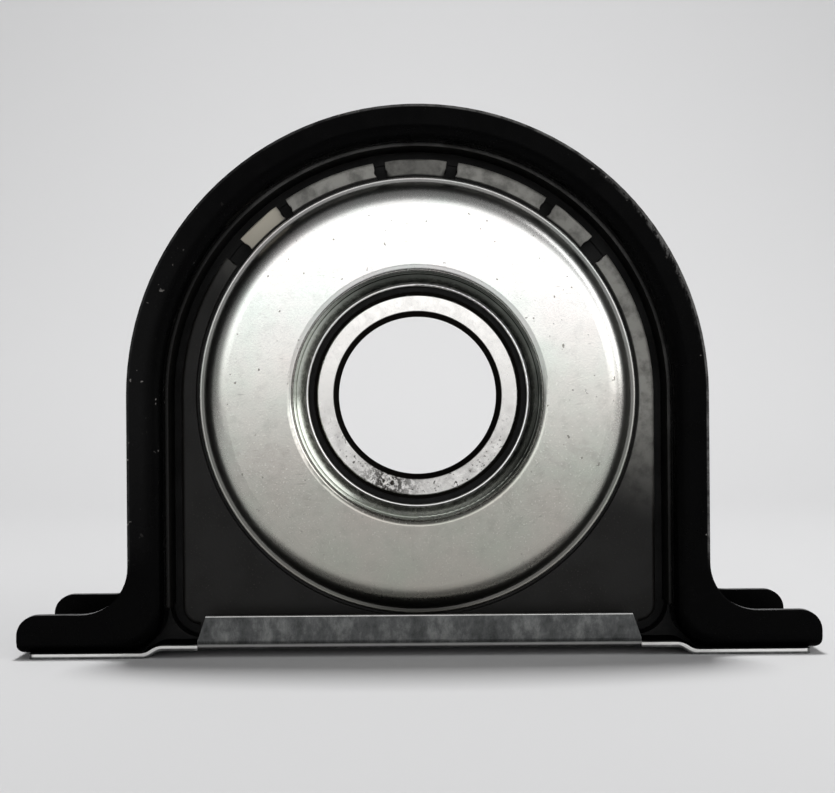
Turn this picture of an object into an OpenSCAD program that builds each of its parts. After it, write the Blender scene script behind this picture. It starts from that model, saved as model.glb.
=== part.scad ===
// Driveshaft centre bearing: arch bracket, retaining strap, rubber cushion, two shields and a ball bearing.
// Millimetres, +Z up, the shaft runs along Y, the front faces -Y, the origin is under the middle of the base.

/* [Overall] */
// Height of the shaft axis over the underside of the strap's feet
axis_height = 76.5; // [60:0.5:100]
// Depth of bracket and strap along the shaft
bracket_depth = 50; // [40:1:70]
// Overall width across the feet
foot_span = 236; // [210:1:280]

/* [Bracket] */
// Sheet thickness of the bracket
bracket_sheet = 3; // [2:0.1:4]
// Inside radius of the arch, and half the distance between the legs
arch_radius = 75.3; // [70:0.1:82]
// Height of the flanges on arch and legs, measured from the inside of the web
flange_height = 10; // [7:0.5:14]
// Height of the flanges on the feet, measured from the underside of the web
foot_flange_height = 11.3; // [8:0.1:14]
// Outside radius of the fold between web and flange
fold_radius = 4.2; // [3.2:0.1:5]
// Radius of the web where a leg turns into its foot, on its underside
foot_bend_radius = 11; // [8:0.5:14]
// Radius of the flange's edge between leg and foot
gusset_radius = 14; // [8:0.5:20]
// Radius of the upper corner at the end of a foot's flange
foot_end_radius = 6; // [3:0.5:9]
// Radius of the lower corner at the end of a foot
foot_low_radius = 2.4; // [1:0.1:4]
// Distance from the end of a foot to the middle of its bolt slot
slot_edge = 17; // [15:0.5:20]
// Width of a bolt slot
slot_width = 13; // [10:0.5:15]
// Length of a bolt slot along the feet
slot_length = 17; // [15:0.5:19]

/* [Retaining strap] */
// Sheet thickness of the strap
strap_sheet = 1.5; // [1.2:0.1:2.4]
// How far the strap's ends stay back from the ends of the feet
strap_inset = 3.3; // [2:0.1:6]
// How far the strap's middle is raised over its feet
strap_rise = 2.2; // [1:0.1:3]
// Length of the raised middle, between its two ramps
strap_middle = 150; // [148:0.5:152]
// Radius of the four bends of the ramps, at the middle of the sheet
strap_bend = 6; // [4:0.5:8]
// Height of the lips over the underside of the raised middle
lip_height = 10; // [8:0.1:11]
// Length of a lip along its lower edge
lip_length = 130; // [110:1:140]
// How far each end of a lip leans inward toward its upper edge
lip_lean = 2.5; // [0:0.5:6]
// Outside radius of the fold between strap and lip
lip_fold = 2.8; // [2.5:0.1:4]
// Corner radius at the ends of the strap
strap_corner = 2; // [1:0.5:6]

/* [Rubber cushion] */
// Width of the cushion along the shaft
cushion_width = 31; // [28:0.5:36]
// Width of the step between the cushion's faces and the bracket
cushion_step = 4.6; // [2.5:0.1:6]
// Depth of that step
cushion_step_depth = 10; // [3:0.5:12]
// Rounding along the outer edges of the cushion's faces
cushion_rounding = 1.2; // [0.6:0.1:2]
// Thickness of the skirt along the bracket's web, outside the step
skirt_sheet = 1; // [0.6:0.1:1.6]
// How far the skirt stands out over the cushion's faces
skirt_rise = 1.8; // [0:0.1:3]
// Radius of the cushion's two lower corners
cushion_corner = 10; // [6:0.5:14]
// Depth of the seat for a shield's rim
rim_seat_depth = 1.5; // [1:0.1:2]
// Room around a shield's rim in its seat
rim_clearance = 0.8; // [0.3:0.1:1.5]
// How far two lips reach in over the outer ring's sides
ring_hold = 2.2; // [1:0.1:3.5]
// Height of the heel that stands between the strap's lips
heel_height = 5.5; // [4:0.1:7]
// Length of the heel
heel_length = 120; // [100:1:124]
// Bevel along the heel's lower edges, clear of the strap's folds
heel_bevel = 1.6; // [1.2:0.1:2.5]
// Angle of the inner pair of notches from the vertical
notch_inner = 9; // [7:0.5:11]
// Angle of the middle pair of notches from the vertical
notch_middle = 35; // [33:0.5:38]
// Angle of the outer pair of notches from the vertical
notch_outer = 51; // [48:0.5:54]
// Width of the inner and middle pairs of notches beside the shield's rim
notch_width = 2.6; // [1.5:0.1:4]
// Width of the outer pair of notches beside the shield's rim
notch_outer_width = 6; // [3:0.1:7]
// How much wider a notch is at its outer end
notch_flare = 1.2; // [0.5:0.1:3]
// How far a notch is hollowed into the blocks on both sides
notch_hollow = 0.6; // [0.3:0.1:1]
// How far a notch runs in under the shield's rim
notch_under = 0.7; // [0.3:0.1:1.2]
// Depth of the notches along the shaft
notch_depth = 9; // [4:0.5:11]
// Radius of the crown across the three blocks between the notches
block_crown = 22; // [20:0.5:40]
// Lean of the three blocks' faces toward the shaft
block_lean = 16; // [5:1:20]

/* [Shields] */
// Sheet thickness of the shields
shield_sheet = 1.2; // [0.8:0.1:1.6]
// Radius of a shield's rim
rim_radius = 65.4; // [63:0.1:68]
// Width of the flat rim that rests on the cushion
rim_width = 1.6; // [1:0.1:2.5]
// Height of a shield's face over its seat on the cushion
shield_height = 8; // [6:0.1:10]
// Outside radius of a shield's shoulder
shield_shoulder = 7.3; // [3:0.1:8]
// Radius at which the flat face rolls into the neck
mouth_radius = 38.7; // [37.5:0.1:41]
// Outside radius of the roll at the neck's mouth
mouth_roll = 1.8; // [1.4:0.1:3]
// Depth of the straight neck behind the roll
neck_depth = 2.4; // [1:0.1:3]

/* [Ball bearing] */
// Bore of the inner ring
bore_d = 50; // [45:0.1:55]
// Height of the bearing's section, from its bore to its outside
ring_height = 20; // [18:0.1:22]
// Width of the inner ring
inner_width = 30; // [26:0.5:38]
// Height from the balls' circle down to the inner ring's land
inner_land = 3.75; // [3.4:0.05:4]
// Step from the inner ring's land down to its two noses
nose_step = 1.25; // [0.8:0.05:1.6]
// Chamfer of the inner ring's edges
inner_chamfer = 0.3; // [0.2:0.1:1]
// Width of the outer ring
outer_width = 20; // [18:0.5:22]
// Chamfer of the outer ring's edges
outer_chamfer = 1; // [0.5:0.1:1.5]
// Height from the balls' circle up to the outer ring's land
outer_land = 3.8; // [3.4:0.1:4.4]
// Diameter of a ball
ball_d = 12.7; // [12:0.1:13]
// Radius of a track over the diameter of a ball
track_ratio = 0.52; // [0.515:0.005:0.54]
// Clearance between a ball and each of the two tracks
ball_clearance = 0.02; // [0.01:0.01:0.05]
// Depth of a seal's seat in the outer ring's land
seal_seat = 1.8; // [1.2:0.1:2.4]
// Thickness of a seal
seal_sheet = 1.6; // [1.2:0.1:2]
// Depth of a seal's face behind the outer ring's side
seal_recess = 0.3; // [0.1:0.1:0.6]
// Running clearance between a seal's lip and the inner ring
seal_clearance = 0.06; // [0.03:0.01:0.1]
// Sheet thickness of the dished case in front of a seal
case_sheet = 0.8; // [0.6:0.1:1]
// Radial room between a seal's case and its seat in the outer ring
case_clearance = 0.3; // [0.2:0.05:0.4]
// Width of the flange of a seal's case
case_flange = 1.5; // [1:0.1:2]
// Height of a seal's case over the seal
case_height = 5.6; // [3:0.1:6.5]
// Gap between the inner ring's land and the rolled edge of a seal's case
case_gap = 1.55; // [1.2:0.05:2]
// Radius of the rolled edge of a seal's case
case_bead = 0.55; // [0.45:0.05:0.7]
// Distance from the wall of a seal's case in to its pressed groove
case_groove = 2.2; // [1.6:0.1:3]

/* [Cage] */
// Sheet thickness of a cage half
cage_sheet = 0.9; // [0.6:0.1:1.2]
// Width of the cage's ring, measured across the pitch circle
cage_width = 4.4; // [3.6:0.1:5]
// Clearance between a ball and its pocket
pocket_clearance = 0.12; // [0.08:0.01:0.2]
// Diameter of a rivet's shank
rivet_d = 1.8; // [1.4:0.1:2.2]
// Diameter of a rivet's head
rivet_head_d = 3; // [2.6:0.1:3.4]
// Height of a rivet's head
rivet_head = 0.7; // [0.4:0.1:1]

/* [Hidden] */
$fn = 96;
ball_count = 10;
half_depth = bracket_depth / 2;
foot_under = strap_sheet;
foot_top = foot_under + foot_flange_height;
half_span = foot_span / 2;
slot_middle = half_span - slot_edge;
strap_tip = half_span - strap_inset;
ramp_angle = acos(1 - strap_rise / (2 * strap_bend));
strap_foot = strap_middle / 2 + 2 * strap_bend * sin(ramp_angle);
arch_outer = arch_radius + flange_height;
strap_top = strap_rise + strap_sheet;
cushion_face = cushion_width / 2;
rim_seat = cushion_face - rim_seat_depth;
shield_wall = rim_radius - rim_width;
shield_face = rim_seat + shield_height;
shoulder = min(shield_shoulder, shield_height - shield_sheet / 2);
neck_radius = mouth_radius - mouth_roll;
skirt_edge = cushion_face + skirt_rise;
outer_d = bore_d + 2 * ring_height;
pitch_r = (bore_d + ring_height) / 2;
inner_land_radius = pitch_r - inner_land;
nose_radius = inner_land_radius - nose_step;
outer_land_radius = pitch_r + outer_land;
seal_radius = outer_land_radius + seal_seat;
ring_lip_radius = outer_d / 2 - ring_hold;
ball_r = ball_d / 2;
track_r = track_ratio * ball_d;
inner_track = pitch_r - ball_r - ball_clearance + track_r;
outer_track = pitch_r + ball_r + ball_clearance - track_r;
seal_face = outer_width / 2 - seal_recess;
seal_inner = inner_land_radius + seal_clearance;
case_outer = seal_radius - case_clearance;
case_wall = case_outer - case_flange;
case_top = seal_face + case_height;
case_bead_level = seal_face + 2 * case_bead;
case_bead_middle = inner_land_radius + case_gap + case_bead;
case_groove_radius = case_wall - case_groove;
case_rise = (case_top - case_bead_level - case_sheet / 2) / (case_wall - case_bead_middle);
land_half = seal_face - seal_sheet / 2 + 1;
ball_step = 360 / ball_count;
cut = 1;

// Stands a shape drawn as across, up and forward into the part's frame
module upright() {
  rotate([90, 0, 0]) children();
}

// The same, with its middle on the shaft axis
module on_axis() {
  translate([0, 0, axis_height]) rotate([90, 0, 0]) children();
}

// A shape and its mirror image on the left
module both_sides() {
  children();
  mirror([1, 0, 0]) children();
}

// A quarter of a ring of sheet, in the quadrant between +x and +y
module quarter(outer, sheet) {
  intersection() {
    difference() {
      circle(outer);
      circle(outer - sheet);
    }
    square(outer);
  }
}

// Section of the bracket: web along y at x = 0, flanges toward +x
module channel(height) {
  web = half_depth - fold_radius;
  translate([0, -web]) square([bracket_sheet, 2 * web]);
  for (side = [0, 1]) mirror([0, side]) {
    translate([fold_radius, web]) mirror([1, 0]) quarter(fold_radius, bracket_sheet);
    translate([fold_radius, half_depth - bracket_sheet]) square([height - fold_radius, bracket_sheet]);
  }
}

// A bolt slot, cut along the given height
module slot(height) {
  reach = (slot_length - slot_width) / 2;
  for (side = [-1, 1]) translate([slot_middle + side * reach, 0, -cut]) cylinder(d = slot_width, h = height);
  translate([slot_middle - reach, -slot_width / 2, -cut]) cube([2 * reach, slot_width, height]);
}

// Flange between leg and foot, drawn flat
module gusset() {
  left = arch_radius + fold_radius;
  low = foot_under + fold_radius;
  right = arch_outer + gusset_radius;
  top = foot_top + gusset_radius;
  centre = [arch_radius + foot_bend_radius, foot_under + foot_bend_radius];
  difference() {
    translate([left, low]) square([right - left, top - low]);
    translate([right, top]) circle(gusset_radius);
    difference() {
      translate([left - cut, low - cut]) square([centre[0] - left + cut, centre[1] - low + cut]);
      translate(centre) circle(foot_bend_radius - fold_radius);
    }
  }
}

// What is taken off one corner to round it, drawn at the corner between +x and +y
module corner_cut(radius) {
  difference() {
    translate([-radius, -radius]) square(radius + cut);
    translate([-radius, -radius]) circle(radius);
  }
}

// What is taken off the end of a foot
module foot_end_cut() {
  translate([half_span, foot_top]) corner_cut(foot_end_radius);
  translate([half_span, foot_under]) mirror([0, 1]) corner_cut(foot_low_radius);
}

module bracket() {
  leg_foot = foot_under + foot_bend_radius;
  foot_start = arch_radius + foot_bend_radius;
  color("#17181a") difference() {
    union() {
      on_axis() rotate_extrude(angle = 180) translate([arch_radius, 0]) channel(flange_height);
      both_sides() upright() {
        translate([arch_radius, axis_height, 0]) rotate([90, 0, 0])
          linear_extrude(axis_height - leg_foot) channel(flange_height);
        translate([foot_start, leg_foot, 0]) rotate([0, 0, 180]) rotate_extrude(angle = 90)
          translate([foot_bend_radius, 0]) mirror([1, 0]) channel(foot_bend_radius);
        translate([foot_start, foot_under, 0]) rotate([90, 0, 90])
          linear_extrude(half_span - foot_start) channel(foot_flange_height);
        for (front = [0, 1]) mirror([0, 0, front]) translate([0, 0, half_depth - bracket_sheet])
          linear_extrude(bracket_sheet) gusset();
      }
    }
    both_sides() upright() translate([0, 0, -half_depth - cut])
      linear_extrude(bracket_depth + 2 * cut) foot_end_cut();
    both_sides() translate([0, 0, foot_under]) slot(foot_flange_height);
  }
}

// One bend of the strap, turning down from straight up by the ramp's angle
module strap_turn() {
  outer = strap_bend + strap_sheet / 2;
  reach = 2 * outer;
  intersection() {
    difference() {
      circle(outer);
      circle(outer - strap_sheet);
    }
    polygon([[0, 0], [reach * sin(ramp_angle), reach * cos(ramp_angle)], [0, reach]]);
  }
}

// Right half of the strap seen from the front
module strap_outline() {
  middle = strap_middle / 2;
  centre = strap_bend + strap_sheet / 2;
  translate([0, strap_rise]) square([middle, strap_sheet]);
  translate([middle, strap_top - centre]) strap_turn();
  translate([strap_foot, centre]) rotate(180) strap_turn();
  translate([strap_foot, 0]) square([strap_tip - strap_foot, strap_sheet]);
}

// One lip with its fold, at the front
module strap_lip() {
  low = lip_length / 2;
  high = low - lip_lean;
  translate([0, strap_rise, 0]) {
    translate([-low, lip_fold, half_depth - lip_fold]) rotate([90, 0, 90]) mirror([1, 0])
      linear_extrude(lip_length) quarter(lip_fold, strap_sheet);
    translate([0, 0, half_depth - strap_sheet]) linear_extrude(strap_sheet)
      polygon([[-low, lip_fold], [low, lip_fold], [high, lip_height], [-high, lip_height]]);
  }
}

module retaining_strap() {
  low = lip_length / 2;
  color("#a9aba8") difference() {
    union() {
      upright() difference() {
        both_sides() translate([0, 0, -half_depth]) linear_extrude(bracket_depth) strap_outline();
        for (front = [0, 1]) mirror([0, 0, front])
          translate([-low, strap_rise - cut, half_depth - lip_fold])
            cube([lip_length, strap_sheet + 2 * cut, lip_fold + cut]);
      }
      upright() for (front = [0, 1]) mirror([0, 0, front]) strap_lip();
    }
    both_sides() slot(strap_sheet + strap_rise + 2 * cut);
    both_sides() for (rear = [0, 1]) mirror([0, rear, 0]) translate([strap_tip, half_depth, -cut])
      linear_extrude(strap_sheet + 2 * cut) corner_cut(strap_corner);
  }
}

// Section of the cushion from a given radius outward, with its steps and rounded edges
module cushion_section(inner, outer) {
  edge = outer - cushion_step;
  flat = cushion_face - cushion_rounding;
  step = cushion_face - cushion_step_depth;
  translate([inner, -cushion_face]) square([edge - cushion_rounding - inner, cushion_width]);
  translate([inner, -flat]) square([edge - inner, 2 * flat]);
  translate([inner, -step]) square([outer - inner, 2 * step]);
  for (side = [-1, 1]) translate([edge - cushion_rounding, side * flat]) circle(cushion_rounding);
}

// The same along the bracket's web, with the skirt
module skirted_section(inner) {
  cushion_section(inner, arch_radius);
  translate([arch_radius - skirt_sheet, -skirt_edge]) square([skirt_sheet, 2 * skirt_edge]);
}

// A notch that widens outward from under the rim, hollowed halfway out, drawn flat along +y
module notch(width) {
  near = rim_radius - notch_under;
  far = arch_radius - cushion_step + cut;
  hollow = (near + arch_radius - cushion_step) / 2;
  narrow = width / 2;
  wide = (width + notch_flare) / 2;
  translate([0, hollow]) circle(narrow + notch_hollow);
  polygon([[-narrow, near], [narrow, near], [wide, far], [-wide, far]]);
}

// Room over a block between two notches, drawn flat about +y
module block_room(half_angle) {
  reach = arch_radius - skirt_sheet - cut;
  polygon([[0, 0], [reach * tan(half_angle), reach], [-reach * tan(half_angle), reach]]);
}

// What is taken off a block to crown it and lean it toward the shaft
module block_cut(half_angle) {
  difference() {
    translate([0, 0, cushion_face - notch_depth]) linear_extrude(2 * notch_depth) block_room(half_angle);
    translate([0, arch_radius - cushion_step, cushion_face]) rotate([block_lean - 90, 0, 0])
      translate([0, block_crown, -arch_radius]) cylinder(r = block_crown, h = 2 * arch_radius);
    cylinder(r = rim_radius + rim_clearance / 2, h = cushion_width);
  }
}

// What is taken off the cushion's front face
module cushion_face_cuts() {
  floor_level = cushion_face - notch_depth;
  side_angle = (notch_middle + notch_outer) / 2;
  side_half = (notch_outer - notch_middle) / 2;
  difference() {
    translate([0, 0, rim_seat]) cylinder(r = rim_radius + rim_clearance, h = rim_seat_depth + cut);
    translate([0, 0, rim_seat - cut]) cylinder(r = ring_lip_radius - cut, h = rim_seat_depth + 3 * cut);
  }
  for (angle = [notch_inner, notch_middle, notch_outer], side = [-1, 1])
    rotate([0, 0, side * angle]) translate([0, 0, floor_level]) linear_extrude(notch_depth + cut)
      notch(angle == notch_outer ? notch_outer_width : notch_width);
  block_cut(notch_inner);
  for (side = [-1, 1]) rotate([0, 0, side * side_angle]) block_cut(side_half);
}

module rubber_cushion() {
  bottom = strap_top;
  side = arch_radius - cushion_corner;
  heel_half = half_depth - strap_sheet;
  color("#2a2927") difference() {
    union() {
      on_axis() rotate_extrude(angle = 180) skirted_section(ring_lip_radius - cut);
      both_sides() upright() {
        translate([0, axis_height, 0]) rotate([90, 0, 0])
          linear_extrude(axis_height - bottom - cushion_corner) skirted_section(0);
        translate([side, bottom + cushion_corner, 0]) rotate([0, 0, -90])
          rotate_extrude(angle = 90) cushion_section(0, cushion_corner);
        translate([0, bottom, -cushion_face]) cube([side, cushion_corner, cushion_width]);
      }
      upright() translate([-heel_length / 2, bottom, 0]) rotate([90, 0, 90]) linear_extrude(heel_length)
        polygon([
          [0, -heel_half + heel_bevel], [heel_bevel, -heel_half], [heel_height, -heel_half],
          [heel_height, heel_half], [heel_bevel, heel_half], [0, heel_half - heel_bevel]]);
    }
    on_axis() translate([0, 0, -outer_width / 2]) cylinder(d = outer_d, h = outer_width);
    on_axis() translate([0, 0, -cushion_width]) cylinder(r = ring_lip_radius, h = 2 * cushion_width);
    for (rear = [0, 1]) mirror([0, rear, 0]) on_axis() cushion_face_cuts();
  }
}

// Section of a shield: radius along x, forward along y
module shield_section() {
  wall_top = shield_face - shoulder;
  flat_outer = shield_wall - shoulder;
  neck_top = shield_face - mouth_roll;
  rim_edge = rim_radius - shield_sheet / 2;
  inside = shield_wall - shield_sheet;
  translate([inside, rim_seat]) square([rim_edge - inside, shield_sheet]);
  translate([rim_edge, rim_seat + shield_sheet / 2]) circle(d = shield_sheet);
  translate([inside, rim_seat]) square([shield_sheet, wall_top - rim_seat]);
  translate([flat_outer, wall_top]) quarter(shoulder, shield_sheet);
  translate([mouth_radius, shield_face - shield_sheet]) square([flat_outer - mouth_radius, shield_sheet]);
  translate([mouth_radius, neck_top]) mirror([1, 0]) quarter(mouth_roll, shield_sheet);
  translate([neck_radius, neck_top - neck_depth]) square([shield_sheet, neck_depth]);
}

module front_shield() {
  color("#c9cac4") on_axis() rotate_extrude() shield_section();
}

module rear_shield() {
  color("#c9cac4") mirror([0, 1, 0]) on_axis() rotate_extrude() shield_section();
}

module outer_ring() {
  half = outer_width / 2;
  big = outer_d / 2;
  color("#b9bbbd") on_axis() rotate_extrude() difference() {
    polygon([
      [outer_land_radius, -half], [big - outer_chamfer, -half], [big, -half + outer_chamfer],
      [big, half - outer_chamfer], [big - outer_chamfer, half], [outer_land_radius, half]]);
    translate([outer_track, 0]) circle(track_r);
    for (side = [0, 1]) mirror([0, side]) translate([outer_land_radius - cut, seal_face - seal_sheet])
      square([seal_radius - outer_land_radius + cut, half]);
  }
}

module inner_ring() {
  half = inner_width / 2;
  small = bore_d / 2;
  color("#d4d4d2") on_axis() rotate_extrude() difference() {
    polygon([
      [small + inner_chamfer, -half], [nose_radius - inner_chamfer, -half],
      [nose_radius, -half + inner_chamfer], [nose_radius, -land_half],
      [inner_land_radius, -land_half], [inner_land_radius, land_half],
      [nose_radius, land_half], [nose_radius, half - inner_chamfer], [nose_radius - inner_chamfer, half],
      [small + inner_chamfer, half], [small, half - inner_chamfer], [small, -half + inner_chamfer]]);
    translate([inner_track, 0]) circle(track_r);
  }
}

// One ball, counted from the right
module ball(number) {
  color("#dcdcdc") on_axis() rotate([0, 0, (number - 1) * ball_step])
    translate([pitch_r, 0, 0]) sphere(ball_r);
}

// The pressed pocket over one ball
module cage_pocket() {
  pocket = ball_r + pocket_clearance;
  difference() {
    intersection() {
      sphere(pocket + cage_sheet);
      translate([-cage_width / 2, -ball_d, 0]) cube([cage_width, 2 * ball_d, ball_d]);
    }
    sphere(pocket);
  }
}

// One half of the cage, in front of the bearing's middle
module cage_half() {
  pocket = ball_r + pocket_clearance;
  difference() {
    rotate_extrude() translate([pitch_r - cage_width / 2, 0]) square([cage_width, cage_sheet]);
    for (index = [0:ball_count - 1]) rotate([0, 0, index * ball_step]) {
      translate([pitch_r, 0, -cut]) cylinder(r = pocket + cage_sheet / 2, h = cage_sheet + 2 * cut);
      rotate([0, 0, ball_step / 2]) translate([pitch_r, 0, -cut])
        cylinder(d = rivet_d, h = cage_sheet + 2 * cut);
    }
  }
  for (index = [0:ball_count - 1]) rotate([0, 0, index * ball_step]) translate([pitch_r, 0, 0]) cage_pocket();
}

module cage_front() {
  color("#8f9192") on_axis() cage_half();
}

module cage_rear() {
  color("#8f9192") mirror([0, 1, 0]) on_axis() cage_half();
}

module cage_rivets() {
  color("#8f9192") on_axis() for (index = [0:ball_count - 1])
    rotate([0, 0, (index + 0.5) * ball_step]) translate([pitch_r, 0, 0]) {
      translate([0, 0, -cage_sheet]) cylinder(d = rivet_d, h = 2 * cage_sheet);
      translate([0, 0, cage_sheet]) cylinder(d = rivet_head_d, h = rivet_head);
      translate([0, 0, -cage_sheet - rivet_head]) cylinder(d = rivet_head_d, h = rivet_head);
    }
}

// One seal, at the front
module seal() {
  rotate_extrude() translate([seal_inner, seal_face - seal_sheet])
    square([seal_radius - seal_inner, seal_sheet]);
}

// The dished case of one seal, at the front
module seal_case() {
  wall_in = case_wall - case_sheet;
  groove_level = case_bead_level + case_sheet / 2 + (case_groove_radius - case_bead_middle) * case_rise;
  rotate_extrude() difference() {
    union() {
      translate([wall_in, seal_face]) square([case_outer - wall_in, case_sheet]);
      translate([wall_in, seal_face]) square([case_sheet, case_height - case_sheet]);
      polygon([
        [case_bead_middle, case_bead_level - case_sheet / 2], [case_wall, case_top - case_sheet],
        [case_wall, case_top], [case_bead_middle, case_bead_level + case_sheet / 2]]);
      translate([case_bead_middle, case_bead_level]) circle(case_bead);
    }
    translate([case_groove_radius, groove_level]) circle(case_sheet / 2);
  }
}

module front_seal() {
  color("#101010") on_axis() seal();
}

module rear_seal() {
  color("#101010") mirror([0, 1, 0]) on_axis() seal();
}

module front_seal_case() {
  color("#c3c4c0") on_axis() seal_case();
}

module rear_seal_case() {
  color("#c3c4c0") mirror([0, 1, 0]) on_axis() seal_case();
}

bracket();
retaining_strap();
rubber_cushion();
front_shield();
rear_shield();
outer_ring();
inner_ring();
ball(1);  // ball_01
ball(2);  // ball_02
ball(3);  // ball_03
ball(4);  // ball_04
ball(5);  // ball_05
ball(6);  // ball_06
ball(7);  // ball_07
ball(8);  // ball_08
ball(9);  // ball_09
ball(10);  // ball_10
cage_front();
cage_rear();
cage_rivets();
front_seal();
rear_seal();
front_seal_case();
rear_seal_case();
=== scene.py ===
"""Looks of a driveshaft centre bearing: materials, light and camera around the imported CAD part."""

import math

import bpy
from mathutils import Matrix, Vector


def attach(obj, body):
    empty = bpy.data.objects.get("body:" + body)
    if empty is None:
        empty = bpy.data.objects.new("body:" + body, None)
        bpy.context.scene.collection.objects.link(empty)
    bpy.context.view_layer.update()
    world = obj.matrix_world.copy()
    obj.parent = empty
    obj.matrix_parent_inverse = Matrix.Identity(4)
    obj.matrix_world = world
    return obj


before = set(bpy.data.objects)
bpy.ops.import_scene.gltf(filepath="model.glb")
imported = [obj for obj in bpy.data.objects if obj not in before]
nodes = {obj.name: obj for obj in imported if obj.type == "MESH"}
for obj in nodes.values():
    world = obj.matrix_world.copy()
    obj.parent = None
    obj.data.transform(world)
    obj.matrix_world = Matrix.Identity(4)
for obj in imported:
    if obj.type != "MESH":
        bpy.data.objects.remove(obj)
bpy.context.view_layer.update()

# Sizes in metres that the materials and the camera share with the part
AXIS_Z = 0.0765
ARCH_INNER = 0.0753
ARCH_OUTER = 0.0853
FLANGE_INNER = 0.0795
FOOT_BEND = 0.011
HALF_DEPTH = 0.025
RIM_RADIUS = 0.0654
BORE_RADIUS = 0.025
BEAD_RADIUS = 0.0339
SEAL_ROOM = 0.0105
LIP_HALF = 0.065
LIP_TOP = 0.0122
STRAP_SHEET = 0.0015
STRAP_RISE = 0.0022
STRAP_TOP = STRAP_RISE + STRAP_SHEET
STRAP_MIDDLE = 0.075
RAMP_MIDDLE = 0.0785
RAMP_END = 0.0819
FACE_RADIUS = 0.0708
CUSHION_FACE = 0.0155
CUSHION_CORNER = 0.01
NOTCH_FLOOR = 0.0065
SKIRT_RADIUS = 0.0743
SKIRT_FACE = 0.0173
BALLS = [f"ball_{number:02d}" for number in range(1, 11)]

# The photograph's view
CAMERA_DISTANCE = 0.465
CAMERA_DROP = 0.0004
CAMERA_ROLL = 0.45
CAMERA_LENS = 64.84


# Node helpers


def new_material(name, colour, metallic, roughness, specular=0.5):
    """A material with one Principled shader; returns it with its node tree and shader."""
    material = bpy.data.materials.new(name)
    material.use_nodes = True
    tree = material.node_tree
    shader = tree.nodes["Principled BSDF"]
    shader.inputs["Base Color"].default_value = (*colour, 1)
    shader.inputs["Metallic"].default_value = metallic
    shader.inputs["Roughness"].default_value = roughness
    shader.inputs["Specular IOR Level"].default_value = specular
    return material, tree, shader


def place(tree, stretch=(1, 1, 1)):
    """Coordinates that stay with the piece, in metres, stretched along each axis."""
    source = tree.nodes.new("ShaderNodeTexCoord")
    mapping = tree.nodes.new("ShaderNodeMapping")
    mapping.inputs["Scale"].default_value = stretch
    tree.links.new(source.outputs["Object"], mapping.inputs["Vector"])
    return mapping.outputs["Vector"]


def noise(tree, scale, detail=4, roughness=0.55, stretch=(1, 1, 1)):
    """A noise value from 0 to 1; scale is in grains a metre."""
    node = tree.nodes.new("ShaderNodeTexNoise")
    node.inputs["Scale"].default_value = scale
    node.inputs["Detail"].default_value = detail
    node.inputs["Roughness"].default_value = roughness
    tree.links.new(place(tree, stretch), node.inputs["Vector"])
    return node.outputs["Fac"]


def math_node(tree, operation, first, second=None, clamp=False):
    """One math step on sockets or numbers."""
    node = tree.nodes.new("ShaderNodeMath")
    node.operation = operation
    node.use_clamp = clamp
    for index, value in enumerate((first, second)):
        if value is None:
            continue
        if isinstance(value, (int, float)):
            node.inputs[index].default_value = value
        else:
            tree.links.new(value, node.inputs[index])
    return node.outputs[0]


def spread(tree, value, low, high, to_low=0, to_high=1, curve="SMOOTHSTEP"):
    """Maps a value from one range to another, held at the ends."""
    node = tree.nodes.new("ShaderNodeMapRange")
    node.interpolation_type = curve
    node.inputs["From Min"].default_value = low
    node.inputs["From Max"].default_value = high
    node.inputs["To Min"].default_value = to_low
    node.inputs["To Max"].default_value = to_high
    tree.links.new(value, node.inputs["Value"])
    return node.outputs["Result"]


def ramp(tree, value, stops):
    """Colours along a value; stops are pairs of position and colour."""
    node = tree.nodes.new("ShaderNodeValToRGB")
    elements = node.color_ramp.elements
    while len(elements) < len(stops):
        elements.new(0.5)
    for element, (position, colour) in zip(elements, stops):
        element.position = position
        element.color = (*colour, 1)
    tree.links.new(value, node.inputs["Fac"])
    return node.outputs["Color"]


def blend_colours(tree, factor, first, second, mode="MIX"):
    """Mixes two colour sockets or fixed colours by a factor socket or number."""
    node = tree.nodes.new("ShaderNodeMix")
    node.data_type = "RGBA"
    node.blend_type = mode
    for name, value in (("Factor", factor), ("A", first), ("B", second)):
        sockets = [socket for socket in node.inputs if socket.name == name and socket.enabled]
        socket = sockets[0]
        if isinstance(value, (int, float)):
            socket.default_value = value
        elif isinstance(value, tuple):
            socket.default_value = (*value, 1)
        else:
            tree.links.new(value, socket)
    return [socket for socket in node.outputs if socket.enabled][0]


def bump(tree, shader, height, strength, distance, rounding):
    """Adds a bump from a height socket to the shader's normal, over edges rounded by a radius."""
    edges = tree.nodes.new("ShaderNodeBevel")
    edges.samples = 6
    edges.inputs["Radius"].default_value = rounding
    node = tree.nodes.new("ShaderNodeBump")
    node.inputs["Strength"].default_value = strength
    node.inputs["Distance"].default_value = distance
    tree.links.new(height, node.inputs["Height"])
    tree.links.new(edges.outputs["Normal"], node.inputs["Normal"])
    tree.links.new(node.outputs["Normal"], shader.inputs["Normal"])


def position_parts(tree):
    """The x, y and z sockets of the place on the piece, in metres."""
    split = tree.nodes.new("ShaderNodeSeparateXYZ")
    tree.links.new(place(tree), split.inputs["Vector"])
    return split.outputs["X"], split.outputs["Y"], split.outputs["Z"]


def length_of(tree, first, second):
    """Length of a two-part vector."""
    first_square = math_node(tree, "MULTIPLY", first, first)
    second_square = math_node(tree, "MULTIPLY", second, second)
    return math_node(tree, "SQRT", math_node(tree, "ADD", first_square, second_square))


def axis_radius(tree):
    """Distance from the shaft axis, in metres."""
    x, _, z = position_parts(tree)
    return length_of(tree, x, math_node(tree, "SUBTRACT", z, AXIS_Z))


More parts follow.
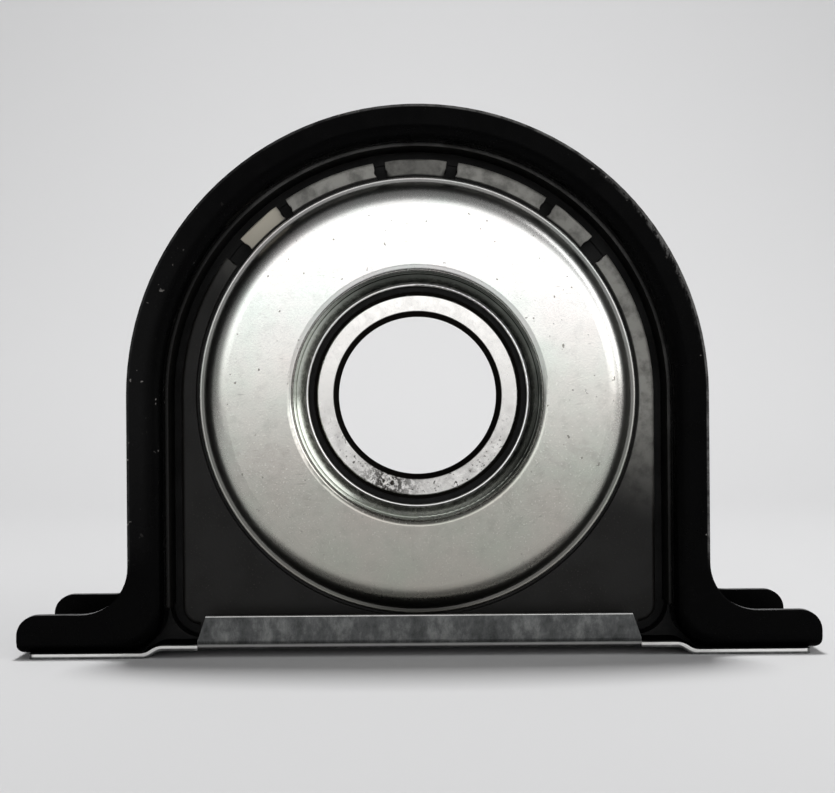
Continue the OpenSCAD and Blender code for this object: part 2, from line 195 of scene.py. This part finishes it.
def arch_distance(tree):
    """Distance from the shaft axis on the arch, and from the middle plane on the legs, in metres."""
    x, _, z = position_parts(tree)
    return length_of(tree, x, math_node(tree, "MAXIMUM", math_node(tree, "SUBTRACT", z, AXIS_Z), 0.0))


def both(tree, first, second):
    """Two masks at once."""
    return math_node(tree, "MULTIPLY", first, second)


def band(tree, value, low, high, soft):
    """A mask that is 1 between two values and fades over a soft width."""
    rise = spread(tree, value, low - soft, low + soft)
    fall = spread(tree, value, high - soft, high + soft, 1, 0)
    return both(tree, rise, fall)


def near_point(tree, x_at, z_at, reach):
    """A mask that fades from 1 to 0 with the distance from a place seen from the front."""
    x, _, z = position_parts(tree)
    away = length_of(tree, math_node(tree, "SUBTRACT", x, x_at), math_node(tree, "SUBTRACT", z, z_at))
    return spread(tree, away, 0, reach, 1, 0)


def strongest(tree, *masks):
    """The largest of several masks."""
    result = masks[0]
    for mask in masks[1:]:
        result = math_node(tree, "MAXIMUM", result, mask)
    return result


# Materials


def black_paint():
    """Black paint with fine orange peel, a paler haze on the left flange face, grey wear along its outer
    edge with a painted highlight there that grows lighter toward the top right, scrape marks with a
    painted sheen on the top right shoulder, and chipped in places.
    """
    paint = (0.0005, 0.0005, 0.0006)
    material, tree, shader = new_material("black_paint", paint, 0.0, 0.3, 0.035)
    x, y, z = position_parts(tree)
    distance = arch_distance(tree)
    above_feet = spread(tree, z, 0.024, 0.034)
    face = both(tree, above_feet, band(tree, distance, FLANGE_INNER, ARCH_OUTER + 0.002, 0.002))
    # a paler grey haze on the left part of the flange face
    pale_haze = both(tree, face, near_point(tree, -0.085, 0.075, 0.075))
    pale_hazed = blend_colours(tree, pale_haze, paint, (0.0065, 0.0065, 0.0066))
    # grey wear along the outer front edge, with a painted highlight that grows lighter toward the top
    # right
    edge = both(tree, above_feet, band(tree, distance, ARCH_OUTER - 0.0007, ARCH_OUTER + 0.002, 0.0002))
    corner = spread(tree, math_node(tree, "ABSOLUTE", y), HALF_DEPTH - 0.0009, HALF_DEPTH - 0.0004)
    patches = spread(tree, noise(tree, 260, 5, 0.65), 0.36, 0.62, 0.25, 1)
    rubbed_and_highlit = both(tree, both(tree, edge, corner), patches)
    upper_right_highlight = spread(tree, math_node(tree, "ADD", x, math_node(tree, "MULTIPLY", z, 0.5)), 0.02, 0.1)
    edge_highlight_colour = blend_colours(tree, upper_right_highlight, (0.03, 0.03, 0.03), (0.14, 0.138, 0.135))
    worn_and_highlit = blend_colours(tree, rubbed_and_highlit, pale_hazed, edge_highlight_colour)
    # scrape marks on the top right shoulder of the outer edge, which also stand as a painted sheen
    rim = both(tree, above_feet, band(tree, distance, ARCH_OUTER - 0.0014, ARCH_OUTER + 0.002, 0.0005))
    shoulder = both(tree, both(tree, rim, corner), near_point(tree, 0.0735, 0.121, 0.036))
    scuffs_and_sheen = both(tree, shoulder, spread(tree, noise(tree, 520, 6, 0.8, (1, 1, 0.45)), 0.47, 0.57))
    scuffed_and_sheened = blend_colours(tree, scuffs_and_sheen, worn_and_highlit, (0.13, 0.127, 0.124))
    specks = spread(tree, noise(tree, 620, 2, 0.4), 0.71, 0.76)
    leg = both(tree, specks, near_point(tree, -0.078, 0.085, 0.06))
    outer_band = band(tree, distance, ARCH_OUTER - 0.0018, ARCH_OUTER + 0.0012, 0.0006)
    flakes = both(tree, specks, both(tree, above_feet, outer_band))
    chipped = blend_colours(tree, strongest(tree, leg, flakes), scuffed_and_sheened, (0.2, 0.19, 0.18))
    tree.links.new(chipped, shader.inputs["Base Color"])
    tree.links.new(spread(tree, noise(tree, 140, 5), 0.35, 0.7, 0.24, 0.36), shader.inputs["Roughness"])
    bump(tree, shader, noise(tree, 900, 3), 0.05, 0.0004, 0.0007)
    return material


def zinc_shield():
    """Bright zinc plating with faint tints, speckled and scratched, with painted shade low down and on the
    shoulder by the rim.
    """
    material, tree, shader = new_material("zinc_shield", (0.8, 0.8, 0.77), 1.0, 0.22)
    _, _, z = position_parts(tree)
    # painted shade: the plating grows darker from the top down
    painted_low_shade = [(0.0, (0.36, 0.35, 0.315)), (0.3, (0.53, 0.52, 0.48))]
    levels = [*painted_low_shade, (0.6, (0.81, 0.805, 0.77)), (0.85, (0.96, 0.96, 0.955))]
    plating = ramp(tree, spread(tree, z, 0.015, 0.125, curve="LINEAR"), levels)
    tints = [(0.3, (0.88, 1.0, 0.92)), (0.5, (1.0, 1.0, 0.97)), (0.72, (1.0, 0.92, 0.9))]
    tinted = blend_colours(tree, 0.5, plating, ramp(tree, noise(tree, 45, 3, 0.5), tints), "MULTIPLY")
    grain = noise(tree, 1500, 4, 0.7)
    cloud = noise(tree, 260, 5, 0.65)
    # cloudy dull patches, stronger lower down, which add to the painted shade there
    low = spread(tree, z, 0.03, 0.1, 1, 0.25)
    mottle = both(tree, low, spread(tree, cloud, 0.45, 0.75, 0, 0.4))
    dulled = blend_colours(tree, mottle, tinted, (0.34, 0.33, 0.3))
    specks = spread(tree, noise(tree, 800, 1, 0.3), 0.77, 0.81)
    scratches = spread(tree, noise(tree, 160, 2, 0.4, (1, 1, 9)), 0.74, 0.78, 0, 0.35)
    marked = blend_colours(tree, strongest(tree, specks, scratches), dulled, (0.33, 0.32, 0.29))
    radius = axis_radius(tree)
    # painted shade on the shoulder toward the rim, eased at the rim's outer edge so a lighter line stays
    # there
    shoulder = spread(tree, radius, RIM_RADIUS - 0.0074, RIM_RADIUS - 0.002, 0, 0.85)
    rim = spread(tree, radius, RIM_RADIUS - 0.0009, RIM_RADIUS - 0.0006, 1, 0.3)
    shaded = blend_colours(tree, both(tree, shoulder, rim), marked, (0.1, 0.1, 0.095))
    tree.links.new(shaded, shader.inputs["Base Color"])
    face_roughness = spread(tree, grain, 0.3, 0.7, 0.19, 0.28)
    roughness = math_node(tree, "ADD", face_roughness, math_node(tree, "MULTIPLY", shoulder, 0.15))
    tree.links.new(roughness, shader.inputs["Roughness"])
    waves = math_node(tree, "MULTIPLY", noise(tree, 50, 2, 0.4), 2.5)
    grain_share = spread(tree, radius, RIM_RADIUS - 0.009, RIM_RADIUS - 0.005, 0.5, 0.03)
    height = math_node(tree, "ADD", waves, both(tree, grain, grain_share))
    bump(tree, shader, height, 0.1, 0.0004, 0.0003)
    return material


def seal_case_zinc():
    """Greenish zinc of the seals' cases, with a bright rolled edge and painted shade, broken a little by
    cloud, over their top right side.
    """
    material, tree, shader = new_material("seal_case_zinc", (0.6, 0.63, 0.57), 1.0, 0.25)
    grain = noise(tree, 900, 4, 0.7)
    shades = [(0.3, (0.5, 0.53, 0.47)), (0.7, (0.7, 0.73, 0.67))]
    bead = spread(tree, axis_radius(tree), BEAD_RADIUS, BEAD_RADIUS + 0.0002, 1, 0)
    x, _, z = position_parts(tree)
    # painted shade over the top right side, broken a little by cloud
    height = math_node(tree, "SUBTRACT", z, AXIS_Z)
    slant = math_node(tree, "ADD", math_node(tree, "MULTIPLY", x, 1.15), height)
    across = spread(tree, slant, -0.03, 0.02, 0, 0.92)
    upper_right_shade = both(tree, across, spread(tree, noise(tree, 70, 4), 0.2, 0.5, 0.75, 1))
    side_shaded = blend_colours(tree, upper_right_shade, ramp(tree, grain, shades), (0.06, 0.065, 0.058))
    shaded = blend_colours(tree, bead, side_shaded, (0.95, 0.95, 0.94))
    tree.links.new(shaded, shader.inputs["Base Color"])
    tree.links.new(spread(tree, grain, 0.3, 0.7, 0.16, 0.26), shader.inputs["Roughness"])
    return material


def zinc_strap():
    """Zinc-plated strap: dull, cloudy lips kept dark as painted shade, edges and fold bright with painted
    highlights, and painted shade on top inside the bracket.
    """
    material, tree, shader = new_material("zinc_strap", (0.5, 0.5, 0.49), 1.0, 0.34, 0.0)
    x, y, z = position_parts(tree)
    # cloudy zinc kept dark: a painted shade for the dark floor that the lips reflect
    shades = [(0.3, (0.045, 0.047, 0.047)), (0.5, (0.1, 0.103, 0.103)), (0.75, (0.24, 0.245, 0.24))]
    cloud = ramp(tree, noise(tree, 220, 6, 0.72, (1, 1, 0.6)), shades)
    across = math_node(tree, "ABSOLUTE", x)
    outward = math_node(tree, "ABSOLUTE", y)
    past_lip = spread(tree, across, LIP_HALF - 0.0003, LIP_HALF + 0.0003)
    cut_side = spread(tree, outward, HALF_DEPTH - 0.0003, HALF_DEPTH - 0.0001)
    # painted highlights, partly bright bare metal: the top half of the cut edge beside the lips, a line
    # along the fold under the lips and the lips' top edge
    lift = spread(tree, across, STRAP_MIDDLE + 0.0005, RAMP_END - 0.0009, STRAP_RISE, 0)
    sheet_level = math_node(tree, "SUBTRACT", z, lift)
    highlit_upper_half = spread(tree, sheet_level, STRAP_SHEET / 3, STRAP_SHEET * 0.6)
    low_edge = both(tree, highlit_upper_half, spread(tree, z, STRAP_TOP + 0.0001, STRAP_TOP + 0.0005, 1, 0))
    cut_edge_bright_and_highlit = both(tree, past_lip, both(tree, cut_side, low_edge))
    along_lip = spread(tree, across, LIP_HALF, LIP_HALF + 0.002, 1, 0)
    fold_highlight = both(tree, along_lip, band(tree, z, STRAP_RISE + 0.0009, STRAP_RISE + 0.0017, 0.0003))
    lip_top_highlight = spread(tree, z, LIP_TOP - 0.00035, LIP_TOP - 0.00015)
    edges = strongest(tree, cut_edge_bright_and_highlit, fold_highlight, lip_top_highlight)
    bright = blend_colours(tree, edges, cloud, (0.85, 0.85, 0.83))
    # painted shade: near black and not metallic on the strap's top and ramps inside the bracket
    inside = spread(tree, outward, HALF_DEPTH - 0.0025, HALF_DEPTH - 0.0015, 1, 0)
    on_ramp = band(tree, across, STRAP_MIDDLE - 0.0005, RAMP_END - 0.0004, 0.0004)
    on_top = spread(tree, z, STRAP_TOP - 0.0008, STRAP_TOP - 0.0005)
    inside_shade = both(tree, inside, strongest(tree, on_top, on_ramp))
    tree.links.new(blend_colours(tree, inside_shade, bright, (0.004, 0.004, 0.0038)), shader.inputs["Base Color"])
    tree.links.new(math_node(tree, "SUBTRACT", 1.0, inside_shade), shader.inputs["Metallic"])
    grain = noise(tree, 900, 4, 0.7)
    tree.links.new(spread(tree, grain, 0.3, 0.7, 0.28, 0.46), shader.inputs["Roughness"])
    bump(tree, shader, grain, 0.12, 0.0003, 0.0003)
    return material


def cushion_rubber():
    """Dark moulded rubber with painted shade in its recessed floors, a grey waxy coat with painted light
    on its face, a painted highlight along the skirt's edge, and one block beige with residue and a painted
    highlight.
    """
    skin = (0.006, 0.0056, 0.005)
    material, tree, shader = new_material("cushion_rubber", skin, 0.0, 0.45, 0.22)
    x, y, z = position_parts(tree)
    cloud = noise(tree, 90, 5)
    grain = noise(tree, 1100, 4)
    pale_haze = spread(tree, noise(tree, 1800, 2, 0.4), 0.62, 0.74, 0, 0.5)
    dust_patches = both(tree, pale_haze, spread(tree, cloud, 0.35, 0.65))
    pale_hazed = blend_colours(tree, dust_patches, skin, (0.06, 0.054, 0.045))
    outward = math_node(tree, "ABSOLUTE", y)
    front_face = spread(tree, outward, CUSHION_FACE - 0.0032, CUSHION_FACE - 0.0024)
    outside_rim = spread(tree, axis_radius(tree), RIM_RADIUS + 0.0006, RIM_RADIUS + 0.0012)
    inside_edge = spread(tree, arch_distance(tree), FACE_RADIUS - 0.0003, FACE_RADIUS + 0.0003, 1, 0)
    ring = both(tree, outside_rim, inside_edge)
    face_ring = both(tree, front_face, ring)
    # a grey waxy coat on the face, which is also painted light: lighter higher up and toward the right,
    # less on the middle block
    leaning = math_node(tree, "ADD", z, math_node(tree, "MULTIPLY", x, 0.55))
    lit_upper = spread(tree, leaning, AXIS_Z - 0.003, AXIS_Z + 0.042)
    lit_side = spread(tree, x, -0.075, -0.02, 0.5, 1)
    patches = spread(tree, noise(tree, 200, 5, 0.6), 0.3, 0.6, 0.45, 1)
    middle_block = near_point(tree, 0.0, AXIS_Z + 0.07, 0.016)
    not_middle = math_node(tree, "SUBTRACT", 1.0, math_node(tree, "MULTIPLY", middle_block, 0.5))
    bloom_and_painted_light = both(tree, both(tree, both(tree, lit_upper, lit_side), face_ring), both(tree, patches, not_middle))
    # painted shade: the recessed floors of the face are darker
    recess_shade = spread(tree, outward, NOTCH_FLOOR + 0.002, NOTCH_FLOOR + 0.0045, 0.8, 0)
    recess_shaded = blend_colours(tree, recess_shade, pale_hazed, (0.0008, 0.0008, 0.0007))
    bloom_and_painted_light_mixed = blend_colours(tree, bloom_and_painted_light, recess_shaded, (0.34, 0.335, 0.31))
    # one top left block turned beige, as residue and as a painted highlight
    highlit_block = near_point(tree, -0.0472, AXIS_Z + 0.0505, 0.0115)
    residue_and_highlight = both(tree, both(tree, face_ring, highlit_block), spread(tree, y, -0.002, 0.002, 1, 0))
    residue_and_highlight_fade = spread(tree, both(tree, residue_and_highlight, noise(tree, 330, 4, 0.6)), 0.04, 0.2)
    beige = blend_colours(tree, residue_and_highlight_fade, bloom_and_painted_light_mixed, (0.46, 0.43, 0.36))
    # a painted highlight along the skirt's edge, higher up, broken by cloud
    skirt_end = spread(tree, outward, SKIRT_FACE - 0.0004, SKIRT_FACE - 0.0002)
    skirt = both(tree, skirt_end, spread(tree, arch_distance(tree), SKIRT_RADIUS - 0.0003, SKIRT_RADIUS))
    skirt_highlight = both(tree, both(tree, skirt, lit_upper), spread(tree, cloud, 0.35, 0.6, 0.3, 1))
    finished = blend_colours(tree, skirt_highlight, beige, (0.06, 0.059, 0.057))
    tree.links.new(finished, shader.inputs["Base Color"])
    tree.links.new(spread(tree, cloud, 0.3, 0.7, 0.38, 0.56), shader.inputs["Roughness"])
    bump(tree, shader, grain, 0.14, 0.0003, 0.0006)
    return material


def seal_rubber():
    """Black rubber of the seals and of the corner fillings, which also stand in for shade."""
    material, tree, shader = new_material("seal_rubber", (0.004, 0.004, 0.004), 0.0, 0.5, 0.2)
    grain = noise(tree, 1100, 4)
    tree.links.new(spread(tree, grain, 0.3, 0.7, 0.42, 0.6), shader.inputs["Roughness"])
    bump(tree, shader, grain, 0.1, 0.0003, 0.0002)
    return material


def polished_steel():
    """Ground and polished bearing steel with faint marks."""
    material, tree, shader = new_material("bearing_steel", (0.72, 0.71, 0.69), 1.0, 0.16)
    tree.links.new(spread(tree, noise(tree, 700, 3), 0.3, 0.7, 0.12, 0.24), shader.inputs["Roughness"])
    return material


def ring_steel():
    """The inner ring: bright noses, smears low down, a dark bore and a dark band between the seals."""
    bright = (0.88, 0.865, 0.84)
    material, tree, shader = new_material("ring_steel", bright, 1.0, 0.18, 0.0)
    _, y, z = position_parts(tree)
    low = spread(tree, z, AXIS_Z - 0.026, AXIS_Z - 0.002, 1, 0.06)
    patch = near_point(tree, -0.009, AXIS_Z - 0.0262, 0.015)
    smears = both(tree, spread(tree, noise(tree, 240, 5, 0.65, (1, 1, 1.6)), 0.54, 0.7, 0, 0.42), low)
    smeared = blend_colours(tree, smears, bright, (0.24, 0.21, 0.18))
    speckle = both(tree, patch, spread(tree, noise(tree, 900, 4, 0.7), 0.42, 0.56))
    dots = strongest(tree, speckle, both(tree, spread(tree, noise(tree, 1300, 2, 0.4), 0.64, 0.7), low))
    dirty = blend_colours(tree, dots, smeared, (0.03, 0.025, 0.02))
    bore = spread(tree, axis_radius(tree), BORE_RADIUS + 0.0001, BORE_RADIUS + 0.0003, 1, 0)
    # the bore and the band between the seals are dark and not metallic
    between_seals_dark = spread(tree, math_node(tree, "ABSOLUTE", y), SEAL_ROOM, SEAL_ROOM + 0.0005, 1, 0)
    dark = strongest(tree, bore, between_seals_dark)
    tree.links.new(blend_colours(tree, dark, dirty, (0.01, 0.009, 0.008)), shader.inputs["Base Color"])
    tree.links.new(math_node(tree, "SUBTRACT", 1.0, dark), shader.inputs["Metallic"])
    marks = spread(tree, noise(tree, 500, 3), 0.3, 0.7, 0.16, 0.28)
    roughness = math_node(tree, "ADD", marks, math_node(tree, "MULTIPLY", dark, 0.4))
    tree.links.new(roughness, shader.inputs["Roughness"])
    return material


def pressed_steel():
    """Plain pressed sheet of the cage."""
    material, tree, shader = new_material("cage_steel", (0.42, 0.42, 0.41), 1.0, 0.35)
    tree.links.new(spread(tree, noise(tree, 500, 4), 0.3, 0.7, 0.28, 0.44), shader.inputs["Roughness"])
    return material


def dress(names, material):
    """Puts one material on CAD nodes."""
    for name in names:
        slots = nodes[name].data.materials
        slots.clear()
        slots.append(material)


dress(["bracket"], black_paint())
dress(["retaining_strap"], zinc_strap())
dress(["front_shield", "rear_shield"], zinc_shield())
dress(["front_seal_case", "rear_seal_case"], seal_case_zinc())
dress(["rubber_cushion"], cushion_rubber())
black_rubber = seal_rubber()
dress(["front_seal", "rear_seal"], black_rubber)
dress(["inner_ring"], ring_steel())
dress(["outer_ring", *BALLS], polished_steel())
dress(["cage_front", "cage_rear", "cage_rivets"], pressed_steel())


# Lower corners, closed by black fillings that also stand in for their shade


def arc(x_at, z_at, radius, start, sweep):
    """Nine points along an arc seen from the front; its angles are in degrees."""
    turns = [math.radians(start + sweep * step / 8) for step in range(9)]
    return [(x_at + radius * math.cos(turn), z_at + radius * math.sin(turn)) for turn in turns]


def corner_shade_filling(name, side):
    """Black rubber that closes a lower corner and also stands in for the shade there; it reaches a little
    into cushion, bracket and strap.
    """
    into_cushion = 0.0004
    into_bracket = 0.0005
    into_strap = 0.0006
    half_depth = 0.012
    corner_x = ARCH_INNER - CUSHION_CORNER
    outline = arc(corner_x, STRAP_TOP + CUSHION_CORNER, CUSHION_CORNER - into_cushion, 0, -90)
    high = STRAP_TOP - into_strap
    low = STRAP_SHEET - into_strap
    outline += [(corner_x, high), (STRAP_MIDDLE + 0.0002, high)]
    outline += [(RAMP_MIDDLE, (high + low) / 2), (RAMP_END, low)]
    outline += arc(ARCH_INNER + FOOT_BEND, STRAP_SHEET + FOOT_BEND, FOOT_BEND - into_bracket, 245, -65)
    count = len(outline)
    points = [(side * x, y, z) for y in (-half_depth, half_depth) for x, z in outline]
    faces = [tuple(range(count)), tuple(range(2 * count - 1, count - 1, -1))]
    for index in range(count):
        after = (index + 1) % count
        faces.append((index, index + count, after + count, after))
    if side < 0:
        faces = [tuple(reversed(face)) for face in faces]
    mesh = bpy.data.meshes.new(name)
    mesh.from_pydata(points, [], faces)
    mesh.materials.append(black_rubber)
    filling = bpy.data.objects.new(name, mesh)
    bpy.context.scene.collection.objects.link(filling)
    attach(filling, "housing")


corner_shade_filling("left_corner_filling", -1)
corner_shade_filling("right_corner_filling", 1)


# Floor and light


def pale_paper():
    """Plain pale paper, a little paler where it stands up behind the part."""
    floor = (0.54, 0.54, 0.545)
    material, tree, shader = new_material("pale_paper", floor, 0.0, 0.9, 0.1)
    _, y, z = position_parts(tree)
    upright = spread(tree, math_node(tree, "ADD", y, z), 0.1, 1.1)
    tree.links.new(blend_colours(tree, upright, floor, (0.65, 0.65, 0.655)), shader.inputs["Base Color"])
    return material


def paper_sweep():
    """Floor that curves up into a backdrop behind the part."""
    half_width = 40.0
    front = -40.0
    back = 1.25
    radius = 0.7
    line = [(front, 0.0), (back - radius, 0.0)]
    for step in range(1, 17):
        turn = math.radians(90 * step / 16)
        line.append((back - radius + radius * math.sin(turn), radius - radius * math.cos(turn)))
    line.append((back, 4.0))
    points = [(side * half_width, y, z) for y, z in line for side in (-1, 1)]
    faces = [(2 * i, 2 * i + 1, 2 * i + 3, 2 * i + 2) for i in range(len(line) - 1)]
    mesh = bpy.data.meshes.new("paper_sweep")
    mesh.from_pydata(points, [], faces)
    for face in mesh.polygons:
        face.use_smooth = True
    sweep = bpy.data.objects.new("paper_sweep", mesh)
    bpy.context.scene.collection.objects.link(sweep)
    mesh.materials.append(pale_paper())


def area_light(name, location, target, width, height, power):
    """A soft rectangular light aimed at a point."""
    data = bpy.data.lights.new(name, "AREA")
    data.shape = "RECTANGLE"
    data.size = width
    data.size_y = height
    data.energy = power
    light = bpy.data.objects.new(name, data)
    light.location = location
    aim = Vector(target) - Vector(location)
    light.rotation_euler = aim.to_track_quat("-Z", "Y").to_euler()
    bpy.context.scene.collection.objects.link(light)


def studio_world():
    """Soft surroundings: a bright band at eye level, darker below, overhead and far out to both sides."""
    world = bpy.data.worlds.new("studio")
    world.use_nodes = True
    bpy.context.scene.world = world
    tree = world.node_tree
    background = tree.nodes["Background"]
    source = tree.nodes.new("ShaderNodeTexCoord")
    split = tree.nodes.new("ShaderNodeSeparateXYZ")
    tree.links.new(source.outputs["Generated"], split.inputs["Vector"])
    height = spread(tree, split.outputs["Z"], -1, 1, curve="LINEAR")
    left = spread(tree, split.outputs["X"], -0.85, -0.35, 0.15, 0.9)
    right = spread(tree, split.outputs["X"], 0.0, 0.7, 1.0, 1.45)
    far_right = spread(tree, split.outputs["X"], 0.5, 0.85, 1.0, 0.35)
    side = both(tree, left, both(tree, right, far_right))
    levels = [(0.0, 0.06), (0.49, 0.2), (0.51, 1.5), (0.62, 1.65), (0.72, 0.5), (0.84, 0.18), (1.0, 0.14)]
    colour = ramp(tree, height, [(position, (level, level, level)) for position, level in levels])
    tree.links.new(colour, background.inputs["Color"])
    tree.links.new(side, background.inputs["Strength"])


paper_sweep()
studio_world()
middle = (0, 0, AXIS_Z)
area_light("right_window", (0.85, -0.3, 0.55), middle, 0.5, 0.9, 3)
area_light("overhead", (0.0, 0.22, 1.3), middle, 0.3, 0.25, 17)


# Camera at the photograph's view


def photograph_camera():
    """Level camera on the shaft axis, turned by the photograph's small roll."""
    data = bpy.data.cameras.new("view")
    data.sensor_width = 36
    data.lens = CAMERA_LENS
    data.clip_start = 0.01
    camera = bpy.data.objects.new("view", data)
    camera.location = (0.0, -CAMERA_DISTANCE, AXIS_Z - CAMERA_DROP)
    camera.rotation_euler = (math.pi / 2, math.radians(CAMERA_ROLL), 0)
    bpy.context.scene.collection.objects.link(camera)
    bpy.context.scene.camera = camera


photograph_camera()
bpy.context.scene.view_settings.view_transform = "Standard"
